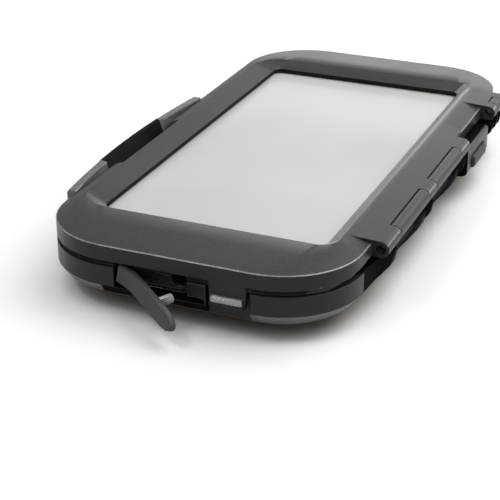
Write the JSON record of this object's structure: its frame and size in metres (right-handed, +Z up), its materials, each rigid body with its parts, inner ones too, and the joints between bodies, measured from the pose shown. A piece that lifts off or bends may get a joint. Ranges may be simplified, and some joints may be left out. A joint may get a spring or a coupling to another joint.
{
  "type": "hard phone case",
  "caption": "Hinged waterproof hard case for a small phone: clear front window in a bevelled frame, deep back shell, side latch, hinge barrels and a rubber port flap hanging open.",
  "frame": {"origin": "centre of the mounting boss's underside, the face that the case rests on", "axes": "+X across the case to the hinge side, +Y along it away from the port end, +Z up out of the window"},
  "size_m": [0.0925, 0.1776, 0.02],
  "materials": {
    "shell_plastic": "fine matte, dark olive grey",
    "latch_plastic": "satin dark grey",
    "clear_sheet": "clear, glossy",
    "seal_rubber": "dark, slightly glossy",
    "flap_rubber": "matte mid grey",
    "pale_pad": "pale grey felt",
    "foam": "matte foam",
    "pin_steel": "drawn pin",
    "insert_brass": "plain brass"
  },
  "bodies": {
    "case": {"back_shell": "shell_plastic", "port_liner": "seal_rubber", "camera_window": "clear_sheet", "back_pad": "pale_pad", "side_bumper_near_left": "foam", "side_bumper_near_right": "foam", "side_bumper_far_left": "foam", "side_bumper_far_right": "foam", "lid_seal": "seal_rubber", "hinge_pin_long": "pin_steel", "hinge_pin_short": "pin_steel", "latch_pin": "pin_steel", "threaded_insert_1": "insert_brass", "threaded_insert_2": "insert_brass", "threaded_insert_3": "insert_brass", "threaded_insert_4": "insert_brass"},
    "lid": {"front_frame": "shell_plastic", "window_membrane": "clear_sheet"},
    "latch": {"latch_lever": "latch_plastic"},
    "flap": {"port_flap": "flap_rubber"},
    "power_key": {"power_button": "seal_rubber"},
    "volume_down_key": {"volume_down_button": "seal_rubber"},
    "volume_up_key": {"volume_up_button": "seal_rubber"}
  },
  "joints": [
    {"name": "lid_hinge", "type": "hinge", "parent": "case", "child": "lid", "pos_m": [0.04375, 0, 0.0173], "axis": [0, 1, 0], "range_deg": [0, 120]},
    {"name": "latch_hinge", "type": "hinge", "parent": "case", "child": "latch", "pos_m": [-0.0432, -0.018, 0.0079], "axis": [0, -1, 0], "range_deg": [0, 100]},
    {"name": "flap_hinge", "type": "hinge", "parent": "case", "child": "flap", "pos_m": [-0.01475, -0.0824, 0.01135], "axis": [0, -0.485, 0.8745], "range_deg": [-20, 25.5]},
    {"name": "power_key_slide", "type": "slide", "parent": "case", "child": "power_key", "axis": [-1, 0, 0], "range_m": [0, 0.0008], "stiffness_N_per_m": 400},
    {"name": "volume_down_key_slide", "type": "slide", "parent": "case", "child": "volume_down_key", "axis": [1, 0, 0], "range_m": [0, 0.0007], "stiffness_N_per_m": 400},
    {"name": "volume_up_key_slide", "type": "slide", "parent": "case", "child": "volume_up_key", "axis": [1, 0, 0], "range_m": [0, 0.0007], "stiffness_N_per_m": 400}
  ]
}
